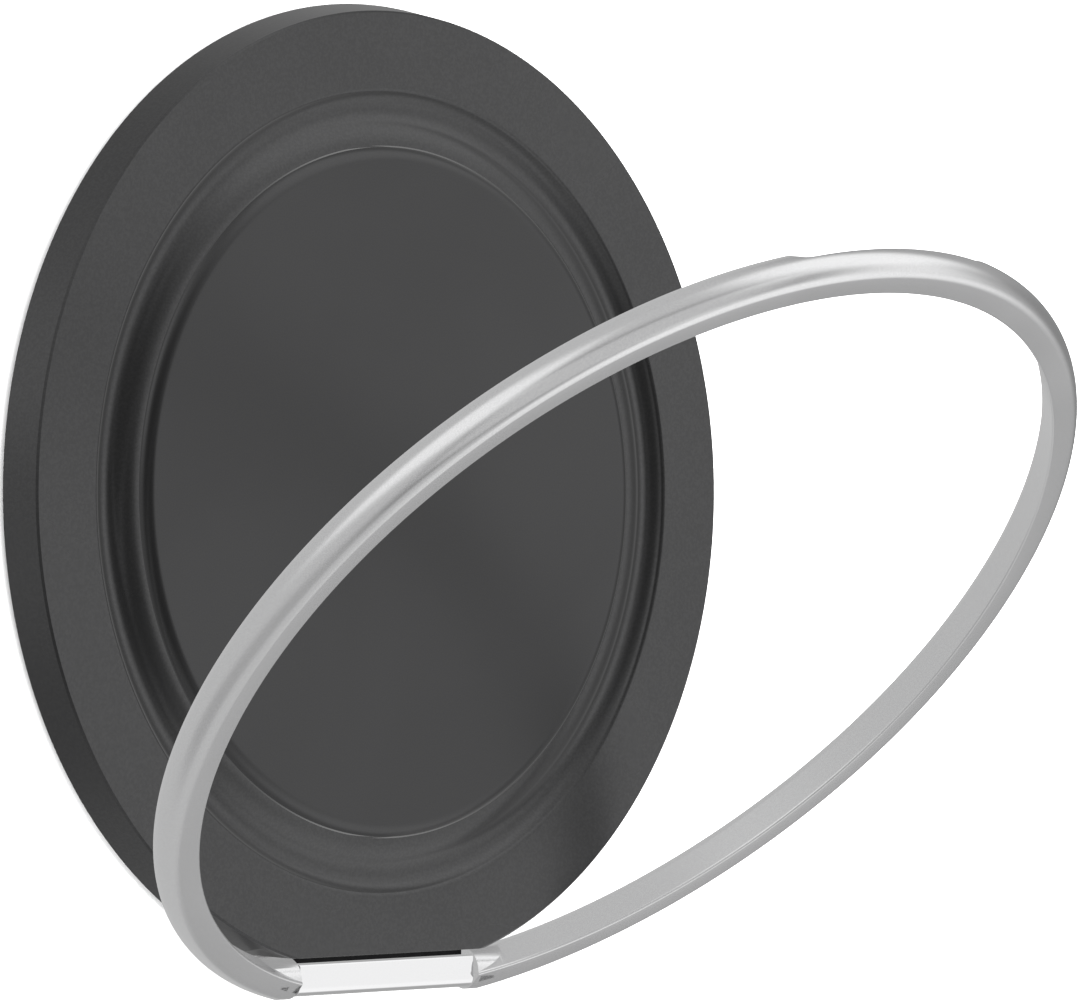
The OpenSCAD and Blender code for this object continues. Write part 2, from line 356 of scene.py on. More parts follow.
def finish_piece(
    piece: bpy.types.Object,
    material: bpy.types.Material,
    body: Body,
    nodes: tuple[str, ...],
) -> bpy.types.Object:
    """Shade a piece, dress it and tie it to the frame.

    The fixed pieces don't show in the ring's reflections.

    Args:
        piece: The piece.
        material: Its finish.
        body: The body that it rides on.
        nodes: The CAD nodes that it stands for.

    Returns:
        The piece.
    """
    piece.data.shade_smooth()
    piece.data.set_sharp_from_angle(angle=math.radians(SMOOTH_BELOW))
    weigh = piece.modifiers.new("flat faces stay flat", "WEIGHTED_NORMAL")
    weigh.keep_sharp = True
    piece.data.materials.clear()
    piece.data.materials.append(material)
    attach(piece, body.value)
    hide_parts(*nodes)
    piece.visible_glossy = body is not Body.BASE
    LOG.info("%s: %d faces on %s", piece.name, len(piece.data.polygons), body.value)
    return piece


# Finishes


class Graph:
    """Adds nodes to a material or a node group."""

    def __init__(self, tree: bpy.types.NodeTree) -> None:
        """Keep the tree."""
        self.tree = tree

    def add(self, kind: str, **settings: object) -> bpy.types.Node:
        """Add a node.

        Args:
            kind: The node's type.
            settings: Its properties by name.

        Returns:
            The node.
        """
        made = self.tree.nodes.new(kind)
        for key, value in settings.items():
            setattr(made, key, value)
        return made

    def link(self, source: bpy.types.NodeSocket, target: bpy.types.NodeSocket) -> None:
        """Join two sockets."""
        self.tree.links.new(source, target)

    def math(self, operation: str, *values: object) -> bpy.types.NodeSocket:
        """Add a Math node, each of whose inputs is a number or a socket, and return its output."""
        made = self.add("ShaderNodeMath", operation=operation)
        for socket, value in zip(made.inputs, values):
            if isinstance(value, bpy.types.NodeSocket):
                self.link(value, socket)
            else:
                socket.default_value = value
        return made.outputs[0]

    def ramp(
        self, value: bpy.types.NodeSocket, low: float, high: float, to: tuple[float, float] = (0.0, 1.0)
    ) -> bpy.types.NodeSocket:
        """Map a value from low..high to another range, smoothly and clamped, and return the output."""
        made = self.add("ShaderNodeMapRange", interpolation_type="SMOOTHSTEP", clamp=True)
        self.link(value, made.inputs["Value"])
        for name, number in zip(("From Min", "From Max", "To Min", "To Max"), (low, high, *to)):
            made.inputs[name].default_value = number
        return made.outputs["Result"]

    def blend(self, share: bpy.types.NodeSocket, first: tuple, second: tuple) -> bpy.types.NodeSocket:
        """Mix two colours by a share, and return the output."""
        made = self.add("ShaderNodeMix", data_type="RGBA")
        self.link(share, made.inputs["Factor"])
        made.inputs[FIRST_COLOUR].default_value = (*first, 1.0)
        made.inputs[SECOND_COLOUR].default_value = (*second, 1.0)
        return made.outputs[MIXED_COLOUR]


class Effects:
    """Node groups that several finishes share, each built once.

    Attributes:
        cell_share: How much the cells add to the grain's height.
        speck_range: Noise from which specks start, and at which they are full.
        smudge_range: The same for smudges.
        jut_range: The same for how far an edge juts out.
        patch_range: Noise from which wear is patchy, and at which it is whole.
        least_worn: Wear that is left in the bare patches.
    """

    cell_share = 0.6
    speck_range = (0.35, 0.68)
    smudge_range = (0.3, 0.7)
    jut_range = (0.52, 0.6)
    patch_range = (0.3, 0.6)
    least_worn = 0.35
    _made: dict[str, bpy.types.NodeTree] = {}

    @classmethod
    def _start(cls, name: str, inputs: dict[str, float], outputs: tuple[str, ...]) -> Graph:
        """Start a group with a vector, some numbers and value outputs, and return its graph."""
        tree = bpy.data.node_groups.new(name, "ShaderNodeTree")
        tree.interface.new_socket("Vector", in_out="INPUT", socket_type="NodeSocketVector")
        for key, value in inputs.items():
            socket = tree.interface.new_socket(key, in_out="INPUT", socket_type="NodeSocketFloat")
            socket.default_value = value
        for key in outputs:
            tree.interface.new_socket(key, in_out="OUTPUT", socket_type="NodeSocketFloat")
        cls._made[name] = tree
        return Graph(tree)

    @classmethod
    def grain(cls) -> bpy.types.NodeTree:
        """Return the group for a blasted or moulded surface: a height and a speckle mask."""
        if "surface_grain" in cls._made:
            return cls._made["surface_grain"]
        graph = cls._start("surface_grain", {"Scale": 6000.0}, ("Height", "Speckle"))
        start, end = graph.add("NodeGroupInput"), graph.add("NodeGroupOutput")
        fine = graph.add("ShaderNodeTexNoise", noise_dimensions="3D")
        fine.inputs["Detail"].default_value = 2.0
        fine.inputs["Roughness"].default_value = 0.6
        cells = graph.add("ShaderNodeTexVoronoi", feature="SMOOTH_F1", distance="EUCLIDEAN")
        for node in (fine, cells):
            graph.link(start.outputs["Vector"], node.inputs["Vector"])
            graph.link(start.outputs["Scale"], node.inputs["Scale"])
        cell, noise = cells.outputs["Distance"], fine.outputs["Fac"]
        height = graph.math("MULTIPLY_ADD", cell, cls.cell_share, noise)
        graph.link(height, end.inputs["Height"])
        graph.link(graph.ramp(noise, *cls.speck_range), end.inputs["Speckle"])
        return cls._made["surface_grain"]

    @classmethod
    def handling(cls) -> bpy.types.NodeTree:
        """Return the group for the slow change of a handled surface: a mask of faint smudges."""
        if "handling" in cls._made:
            return cls._made["handling"]
        graph = cls._start("handling", {"Scale": 60.0}, ("Smudge",))
        start, end = graph.add("NodeGroupInput"), graph.add("NodeGroupOutput")
        slow = graph.add("ShaderNodeTexNoise", noise_dimensions="3D")
        slow.inputs["Detail"].default_value = 3.0
        slow.inputs["Distortion"].default_value = 0.6
        graph.link(start.outputs["Vector"], slow.inputs["Vector"])
        graph.link(start.outputs["Scale"], slow.inputs["Scale"])
        graph.link(graph.ramp(slow.outputs["Fac"], *cls.smudge_range), end.inputs["Smudge"])
        return cls._made["handling"]

    @classmethod
    def edge_wear(cls) -> bpy.types.NodeTree:
        """Return the group for edges rubbed bare: a mask from how far the surface juts out."""
        if "edge_wear" in cls._made:
            return cls._made["edge_wear"]
        graph = cls._start("edge_wear", {"Scale": 900.0}, ("Worn",))
        start, end = graph.add("NodeGroupInput"), graph.add("NodeGroupOutput")
        shape = graph.add("ShaderNodeNewGeometry")
        patch = graph.add("ShaderNodeTexNoise", noise_dimensions="3D")
        graph.link(start.outputs["Vector"], patch.inputs["Vector"])
        graph.link(start.outputs["Scale"], patch.inputs["Scale"])
        jut = graph.ramp(shape.outputs["Pointiness"], *cls.jut_range)
        broken = graph.ramp(patch.outputs["Fac"], *cls.patch_range, (cls.least_worn, 1.0))
        graph.link(graph.math("MULTIPLY", jut, broken), end.inputs["Worn"])
        return cls._made["edge_wear"]


@dataclass(frozen=True)
class Finish:
    """One finish: a surface with grain, faint handling marks and, where it has them, worn edges.

    Attributes:
        name: Name of the material.
        colour: Base colour.
        speck: Colour of the grain's specks.
        worn: Colour of rubbed edges, or None where none are rubbed.
        metallic: 1 for metal, 0 for plastic.
        roughness: Least and greatest roughness.
        grain_size: Size of a grain, in millimetres.
        grain_depth: Depth of the grain, in micrometres.
        wear: How much the worn edges show.
        marks_scale: Smudges in a metre.
        wear_scale: Patches of wear in a metre.
    """

    name: str
    colour: tuple[float, float, float]
    speck: tuple[float, float, float]
    worn: tuple[float, float, float] | None = None
    metallic: float = 1.0
    roughness: tuple[float, float] = (0.25, 0.32)
    grain_size: float = 0.16
    grain_depth: float = 2.0
    wear: float = 0.5
    marks_scale: float = 55.0
    wear_scale: float = 900.0

    def make(self) -> bpy.types.Material:
        """Build the material, and return it."""
        material = bpy.data.materials.new(self.name)
        material.use_nodes = True
        graph = Graph(material.node_tree)
        shader = material.node_tree.nodes["Principled BSDF"]
        place = graph.add("ShaderNodeTexCoord").outputs["Object"]
        grain = self._group(graph, Effects.grain(), place, 1.0 / (self.grain_size * MM))
        marks = self._group(graph, Effects.handling(), place, self.marks_scale)
        base = graph.blend(grain.outputs["Speckle"], self.colour, self.speck)
        if self.worn:
            wear = self._group(graph, Effects.edge_wear(), place, self.wear_scale)
            edges = graph.add("ShaderNodeMix", data_type="RGBA")
            graph.link(graph.math("MULTIPLY", wear.outputs["Worn"], self.wear), edges.inputs["Factor"])
            graph.link(base, edges.inputs[FIRST_COLOUR])
            edges.inputs[SECOND_COLOUR].default_value = (*self.worn, 1.0)
            base = edges.outputs[MIXED_COLOUR]
        graph.link(base, shader.inputs["Base Color"])
        rough = graph.ramp(marks.outputs["Smudge"], 0.0, 1.0, self.roughness)
        graph.link(rough, shader.inputs["Roughness"])
        bump = graph.add("ShaderNodeBump")
        bump.inputs["Strength"].default_value = 1.0
        bump.inputs["Distance"].default_value = self.grain_depth * MICRO
        graph.link(grain.outputs["Height"], bump.inputs["Height"])
        graph.link(bump.outputs["Normal"], shader.inputs["Normal"])
        shader.inputs["Metallic"].default_value = self.metallic
        return material

    @staticmethod
    def _group(
        graph: Graph, tree: bpy.types.NodeTree, place: bpy.types.NodeSocket, scale: float
    ) -> bpy.types.Node:
        """Place a shared effect with its coordinates and scale, and return its node."""
        made = graph.add("ShaderNodeGroup", node_tree=tree)
        graph.link(place, made.inputs["Vector"])
        made.inputs["Scale"].default_value = scale
        return made


HOUSING_FINISH = Finish(
    "blasted_charcoal_metal",
    (0.083, 0.083, 0.084),
    (0.095, 0.095, 0.096),
    roughness=(0.27, 0.31),
    grain_size=0.16,
    grain_depth=1.4,
)
# The tongue's near-black colour is painted shade: it stands in for the shade deep in the slit beside
# the bar.
TONGUE_PAINTED_SHADE_FINISH = Finish(
    "tongue_steel_painted_shade",
    (0.012, 0.012, 0.013),
    (0.018, 0.018, 0.019),
    (0.05, 0.05, 0.05),
    roughness=(0.6, 0.7),
    grain_size=0.12,
    grain_depth=1.5,
    wear=0.2,
)
CAP_FINISH = Finish(
    "fine_charcoal_metal",
    (0.075, 0.075, 0.076),
    (0.081, 0.081, 0.082),
    roughness=(0.28, 0.32),
    grain_size=0.09,
    grain_depth=0.7,
)
RING_FINISH = Finish(
    "satin_ring_steel",
    (0.74, 0.74, 0.745),
    (0.79, 0.79, 0.795),
    roughness=(0.22, 0.27),
    grain_size=0.08,
    grain_depth=0.5,
)
BARREL_FINISH = Finish(
    "polished_bar_steel",
    (0.84, 0.84, 0.845),
    (0.86, 0.86, 0.865),
    roughness=(0.05, 0.09),
    grain_size=0.05,
    grain_depth=0.06,
)
PAD_FINISH = Finish(
    "matt_pad_rubber",
    (0.028, 0.028, 0.03),
    (0.042, 0.042, 0.044),
    (0.06, 0.06, 0.06),
    metallic=0.0,
    roughness=(0.55, 0.7),
    grain_size=0.25,
    grain_depth=8.0,
    wear=0.3,
)
COVER_FINISH = Finish(
    "moulded_cover_plastic",
    (0.045, 0.045, 0.047),
    (0.058, 0.058, 0.06),
    (0.09, 0.09, 0.09),
    metallic=0.0,
    roughness=(0.42, 0.52),
    grain_size=0.2,
    grain_depth=5.0,
    wear=0.3,
)
CARRIER_FINISH = Finish(
    "moulded_carrier_plastic",
    (0.055, 0.055, 0.06),
    (0.068, 0.068, 0.073),
    (0.1, 0.1, 0.1),
    metallic=0.0,
    roughness=(0.4, 0.5),
    grain_size=0.2,
    grain_depth=5.0,
)
FILM_FINISH = Finish(
    "adhesive_film",
    (0.75, 0.74, 0.68),
    (0.8, 0.79, 0.73),
    (0.85, 0.85, 0.8),
    metallic=0.0,
    roughness=(0.35, 0.5),
    grain_size=0.3,
    grain_depth=6.0,
)
SHIELD_FINISH = Finish(
    "rolled_shield_steel",
    (0.42, 0.42, 0.43),
    (0.5, 0.5, 0.51),
    (0.62, 0.62, 0.62),
    roughness=(0.3, 0.42),
    grain_size=0.3,
    grain_depth=2.0,
)
NICKEL_FINISH = Finish(
    "nickel_plate",
    (0.6, 0.59, 0.57),
    (0.66, 0.65, 0.62),
    (0.72, 0.71, 0.69),
    roughness=(0.16, 0.24),
    grain_size=0.12,
    grain_depth=0.6,
)
SCREW_FINISH = Finish(
    "plain_screw_steel",
    (0.38, 0.38, 0.4),
    (0.46, 0.46, 0.48),
    (0.6, 0.6, 0.6),
    roughness=(0.28, 0.38),
    grain_size=0.1,
    grain_depth=1.0,
)
PIN_FINISH = Finish(
    "ground_pin_steel",
    (0.53, 0.53, 0.54),
    (0.6, 0.6, 0.61),
    (0.7, 0.7, 0.7),
    roughness=(0.14, 0.2),
    grain_size=0.06,
    grain_depth=0.3,
)
SPRING_FINISH = Finish(
    "spring_strip_brass",
    (0.68, 0.56, 0.3),
    (0.74, 0.62, 0.36),
    (0.82, 0.72, 0.46),
    roughness=(0.22, 0.32),
    grain_size=0.1,
    grain_depth=0.8,
)


# Sub-assemblies


@dataclass
class Disc:
    """The round body: its housing with the finger groove, the centre cap, the cover and the pad.

    All sizes are in millimetres. Hold is how far inside an edge a flat face has its outer row
    of vertices.
    """

    face_r: float = 28.0
    back_r: float = 28.6
    edge_chamfer: float = 0.12
    hold: float = 0.15
    cut_y: float = -27.0
    cut_lean: float = 0.35
    back_z: float = 0.5
    front_z: float = 2.8
    pocket_z: float = 1.9
    pocket_r: float = 20.23
    lip_flat: float = 0.05
    lip_round: float = 2.3
    hollow_r: float = 1.3
    groove_depth: float = 0.65
    groove_edge: float = 0.35
    cap_r: float = 20.15
    cap_z: float = 2.0
    cap_top_z: float = 3.24
    cap_round: float = 0.95
    cap_land: float = 0.02
    cover_t: float = 0.4
    cover_r: float = 27.55
    cover_cut_y: float = -26.1
    cover_gap: float = 0.05
    pad_r: float = 26.8
    pad_t: float = 0.4
    pad_cut_y: float = -25.35
    cut_edge: float = 0.06
    cover_edge: float = 0.05
    pad_edge: float = 0.12

    def housing_section(self) -> SectionPen:
        """Draw the housing's section from the cap's pocket to the back edge, and return the pen."""
        lip_r = self.pocket_r + self.lip_flat
        lip = math.degrees(math.acos(1 - self.groove_depth / (self.lip_round + self.hollow_r)))
        hollow_x = lip_r + (self.lip_round + self.hollow_r) * math.sin(math.radians(lip))
        hollow_z = self.front_z - self.groove_depth + self.hollow_r
        reach = self.hollow_r + self.groove_edge
        drop = self.hollow_r - self.groove_depth + self.groove_edge
        wall = math.degrees(math.acos(drop / reach))
        edge_r = hollow_x + reach * math.sin(math.radians(wall))
        pen = SectionPen(self.pocket_r, self.pocket_z)
        pen.line(self.pocket_r, self.front_z)
        pen.line(lip_r, self.front_z)
        pen.arc(lip_r, self.front_z - self.lip_round, lip, 14)
        pen.arc(hollow_x, hollow_z, -lip - wall, 22)
        pen.arc(edge_r, self.front_z - self.groove_edge, wall, 8)
        pen.line(edge_r + self.hold, self.front_z)
        pen.line(self.face_r - self.hold, self.front_z)
        pen.line(self.face_r, self.front_z)
        pen.line(self.face_r + self.edge_chamfer, self.front_z - self.edge_chamfer)
        return pen.line(self.back_r, self.back_z)

    def housing(self, material: bpy.types.Material, slot: bmesh.types.BMesh) -> bpy.types.Object:
        """Spin the housing, cut its leaning flat and its back recess, and return the piece.

        Args:
            material: Its finish.
            slot: The form of the slot for the hinge's tongue.

        Returns:
            The piece.
        """
        bm = self.housing_section().spin()
        edge = Vector((0, self.cut_y, self.front_z)) * MM
        slice_off(bm, edge, Vector((0, self.back_z - self.front_z, -self.cut_lean)).normalized())
        flat = min(bm.faces, key=lambda f: f.normal.y if len(f.verts) > 6 else 1.0)
        turned = math.radians(34.4)
        soften(bm, [e for e in flat.edges if e.calc_face_angle(0.0) > turned], self.cut_edge, 2)
        piece = to_object(bm, "housing")
        recess_t = self.cover_t + 2 * PAST
        recess_z = self.back_z + self.cover_t - recess_t
        recess_r = self.cover_r + self.cover_gap
        recess_cut_y = self.cover_cut_y - self.cover_gap
        carve(piece, outline_plate(recess_r, recess_cut_y, recess_z, recess_t, 0.0))
        carve(piece, slot)
        return finish_piece(piece, material, Body.BASE, ("disc_housing",))

    def cap(self, material: bpy.types.Material) -> bpy.types.Object:
        """Spin the centre cap, and return the piece."""
        raise_z = self.cap_top_z - self.front_z - self.cap_land
        turn = math.degrees(math.acos(1 - raise_z / self.cap_round))
        flat_r = self.cap_r - self.cap_round * math.sin(math.radians(turn))
        pen = SectionPen(flat_r - self.hold, self.cap_top_z)
        pen.line(flat_r, self.cap_top_z)
        pen.arc(flat_r, self.cap_top_z - self.cap_round, turn, 16)
        pen.line(self.cap_r, self.cap_z)
        piece = to_object(pen.spin(), "cap")
        return finish_piece(piece, material, Body.BASE, ("centre_cap",))

    def cover(self, material: bpy.types.Material) -> bpy.types.Object:
        """Make the plate that closes the housing, and return the piece."""
        bm = outline_plate(self.cover_r, self.cover_cut_y, self.back_z, self.cover_t, self.cover_edge)
        return finish_piece(to_object(bm, "cover"), material, Body.BASE, ("back_cover",))

    def pad(self, material: bpy.types.Material) -> bpy.types.Object:
        """Make the soft pad that rests on the phone, and return the piece."""
        bm = outline_plate(self.pad_r, self.pad_cut_y, 0.0, self.pad_t, self.pad_edge)
        return finish_piece(to_object(bm, "pad"), material, Body.BASE, ("back_pad",))


@dataclass
class Hinge:
    """The straight polished barrel with its tongue, coloured near black as painted shade for the slit
    beside the bar. All sizes are in millimetres.
    """

    y: float = HINGE_Y
    z: float = HINGE_Z
    half_l: float = 7.22
    width: float = 1.9
    height: float = 2.2
    outer_round: float = 0.6
    inner_round: float = 0.15
    end_round: float = 0.06
    bore_r: float = 0.61
    bore_l: float = 5.04
    tongue_half_w: float = 7.07
    tongue_z: float = 0.9
    tongue_t: float = 0.8
    tongue_end_y: float = -23.9
    tongue_fit: float = 0.05

    def tongue(self, gap: float) -> bmesh.types.BMesh:
        """Make the tongue, or with a gap the slot that takes it, and return its bmesh."""
        low = Vector((-self.tongue_half_w - gap, self.y, self.tongue_z))
        top_z = self.tongue_z + self.tongue_t
        high = Vector((self.tongue_half_w + gap, self.tongue_end_y + gap, top_z + gap))
        return block(low, high)

    def barrel(self, material: bpy.types.Material, dark: bpy.types.Material) -> bpy.types.Object:
        """Round a bar, join its tongue, bore its ends, and return the piece.

        Args:
            material: The bar's finish.
            dark: The tongue's finish, near black as painted shade for the slit beside the bar.

        Returns:
            The piece.
        """
        half = Vector((self.half_l, self.width / 2, self.height / 2))
        at = Vector((0.0, self.y, self.z))
        bm = block(at - half, at + half)
        for side, radius, steps in ((-1, self.outer_round, 10), (1, self.inner_round, 4)):
            face_y = (self.y + side * self.width / 2) * MM
            edges = [e for e in bm.edges if all(abs(v.co.y - face_y) < SAME for v in e.verts)]
            long_ones = [e for e in edges if abs(e.verts[0].co.x - e.verts[1].co.x) > self.half_l * MM]
            soften(bm, long_ones, radius, steps)
        end_x = self.half_l * MM
        ends = [e for e in sharp_edges(bm, 60.0) if abs(abs(e.verts[0].co.x) - end_x) < SAME]
        soften(bm, ends, self.end_round, 2)
        piece = to_object(bm, "barrel")
        carve(piece, self.tongue(0.0), "UNION")
        for x in (self.half_l - self.bore_l, -self.half_l - PAST):
            carve(piece, rod(self.bore_r, x, self.bore_l + PAST, self.y, self.z))
        finish_piece(piece, material, Body.BASE, ("hinge_barrel",))
        # Faces past the bar's side take the near-black tongue finish, which is painted shade for the
        # slit.
        piece.data.materials.append(dark)
        bar_side = (self.y + self.width / 2) * MM
        for face in piece.data.polygons:
            if face.center.y > bar_side + TOUCH * MM:
                face.material_index = 1
        return piece


@dataclass
class Ring:
    """The swinging ring, with its flat face, rounded back and thumb notch.

    All sizes are in millimetres.
    """

    open_angle: float = 45.0
    spare_angle: float = 1.0
    hinge_y: float = HINGE_Y
    hinge_z: float = HINGE_Z
    flat_z: float = 2.65
    bottom_z: float = 0.3
    in_r: float = 28.27
    in_round: float = 0.13
    draft: float = 12.417
    heel_r: float = 28.765
    heel_w: float = 0.32
    heel_h: float = 0.42
    dome_c: tuple[float, float] = (29.132, 1.47)
    dome_r: float = 1.335
    front_round: float = 0.85
    back_round: float = 0.08
    end_x: float = 7.32
    gap_reach: float = 4.0
    knuckle_r: float = 1.39
    knuckle_l: float = 2.5
    knuckle_sides: int = 144
    knuckle_in_r: float = 26.9
    knuckle_out_r: float = 29.115
    trim_round: float = 0.95
    bore_r: float = 0.41
    bore_l: float = 2.1
    thumb_edge: tuple[float, float] = (30.46, 1.22)
    thumb_slope: float = 31.3
    thumb_round: float = 0.06
    thumb_angle: float = 27.8
    thumb_fade: float = 1.3

    def section(self) -> SectionPen:
        """Draw the ring's section, clockwise from its inner front edge, and return the pen."""
        lean = math.radians(self.draft)
        in_c = (
            self.in_r + self.in_round * (math.tan(lean) + 1 / math.cos(lean)),
            self.flat_z - self.in_round,
        )
        reach = self.dome_r - self.front_round
        lift = self.flat_z - self.front_round - self.dome_c[1]
        join = math.degrees(math.asin(lift / reach))
        front_r = self.dome_c[0] + math.sqrt(reach**2 - lift**2)
        low = math.degrees(math.asin((self.dome_c[1] - self.bottom_z) / self.dome_r))
        pen = SectionPen(in_c[0], self.flat_z)
        pen.line(front_r, self.flat_z)
        pen.arc(front_r, self.flat_z - self.front_round, 90 - join, 14)
        pen.arc(*self.dome_c, join + low, 34)
        pen.line(self.heel_r + self.heel_w, self.bottom_z)
        pen.line(self.heel_r, self.bottom_z + self.heel_h)
        pen.line(
            in_c[0] - self.in_round * math.cos(lean),
            in_c[1] - self.in_round * math.sin(lean),
        )
        return pen.arc(*in_c, 90 + self.draft, 8)

    def press_thumb_notch(self, bm: bmesh.types.BMesh) -> None:
        """Press the thumb notch into the outer back edge opposite the hinge, fading at both ends.

        Args:
            bm: The folded ring.
        """
        slope = math.radians(self.thumb_slope)
        out_r, out_z = math.sin(slope), -math.cos(slope)
        for vert in bm.verts:
            r = math.hypot(vert.co.x, vert.co.y)
            away = abs(math.degrees(math.atan2(vert.co.x, vert.co.y)))
            share = (self.thumb_angle / 2 + self.thumb_fade - away) / (2 * self.thumb_fade)
            share = min(max(share, 0.0), 1.0)
            share *= share * (3 - 2 * share)
            out, up = r / MM - self.thumb_edge[0], vert.co.z / MM - self.thumb_edge[1]
            over = out * out_r + up * out_z
            if share <= 0.0 or over <= -self.thumb_round:
                continue
            if over < self.thumb_round:
                over = (over + self.thumb_round) ** 2 / (4 * self.thumb_round)
            scale = 1 - share * over * out_r * MM / r
            lifted = vert.co.z - share * over * out_z * MM
            vert.co = Vector((vert.co.x * scale, vert.co.y * scale, lifted))

    def knuckle(self, start: float) -> bmesh.types.BMesh:
        """Make what a round knuckle adds to the inside of a ring end.

        Args:
            start: Where it starts along X.

        Returns:
            The bmesh, cut from a sweep round the disc by a rod about the hinge axis.
        """
        pen = SectionPen(self.knuckle_in_r, self.bottom_z).line(self.knuckle_in_r, self.flat_z)
        pen.line(self.knuckle_out_r, self.flat_z).line(self.knuckle_out_r, self.bottom_z)
        blank = to_object(pen.close().spin(*self.sweep(), RING_STEPS), "knuckle")
        length = self.knuckle_l + PAST
        round_form = rod(self.knuckle_r, start, length, self.hinge_y, self.hinge_z, self.knuckle_sides)
        carve(blank, round_form, "INTERSECT")
        bm = bmesh.new()
        bm.from_mesh(blank.data)
        bpy.data.objects.remove(blank)
        return bm

    def trim(self, start: float) -> bmesh.types.BMesh:
        """Make the form that cuts the outside of a ring end flush with the barrel.

        Args:
            start: Where it starts along X.

        Returns:
            The cutter's bmesh.
        """
        centre_z = self.flat_z - self.hinge_z - self.trim_round
        far = self.dome_r * 2
        pen = SectionPen(0.0, centre_z + self.trim_round)
        pen.arc(0.0, centre_z, -90.0, 16)
        pen.line(-self.trim_round, -far).line(-far, -far).line(-far, far).line(0.0, far)
        return pen.close().draw_out(start, self.knuckle_l + PAST, self.hinge_y, self.hinge_z)

    def sweep(self) -> tuple[float, float]:
        """Return the angle at which the folded ring starts, and the angle that it takes."""
        out_r = self.dome_c[0] + self.dome_r
        end = math.degrees(math.asin(self.end_x / out_r)) - self.spare_angle
        return end - 90, 360 - 2 * end

    def hoop(self, material: bpy.types.Material) -> bpy.types.Object:
        """Spin the ring folded, shape its ends and notch, open it, and return the piece."""
        bm = self.section().spin(*self.sweep(), RING_STEPS)
        step_l = 0.8 * MM
        around = [e for e in sharp_edges(bm, 20.0) if abs(e.verts[0].co.z - e.verts[1].co.z) < LEVEL]
        rims = [e for e in around if (e.verts[0].co - e.verts[1].co).length < step_l]
        soften(bm, rims, self.back_round, 3)
        self.press_thumb_notch(bm)
        piece = to_object(bm, "hoop")
        for side in (1, -1):
            start = self.end_x - PAST if side > 0 else -self.end_x - self.knuckle_l
            carve(piece, self.knuckle(start), "UNION")
            carve(piece, self.trim(start))
        low = Vector((-self.end_x, self.hinge_y - self.gap_reach, -2 * PAST))
        high = Vector((self.end_x, self.hinge_y + self.gap_reach, self.gap_reach))
        carve(piece, block(low, high))
        for side in (1, -1):
            start = self.end_x - PAST if side > 0 else -self.end_x - self.bore_l
            carve(piece, rod(self.bore_r, start, self.bore_l + PAST, self.hinge_y, self.hinge_z))
        hinge = Vector((0, self.hinge_y, self.hinge_z)) * MM
        piece.data.transform(rotation_at("X", self.open_angle, hinge))
        return finish_piece(piece, material, Body.RING, ("grip_ring",))


# Studio


@dataclass(frozen=True)
class SoftBox:
    """A soft patch in the surroundings, brighter or darker than the rest.

    Attributes:
        turn: From and to angle about the Y axis, 0 above the disc and 90 towards +X, in degrees.
        rise: From and to angle towards +Y, in degrees.
        level: Brightness that it adds, or takes away if negative.
        feather: Width of its soft edge in turn and in rise, in degrees.
    """

    turn: tuple[float, float]
    rise: tuple[float, float]
    level: float
    feather: tuple[float, float] = (8.0, 10.0)


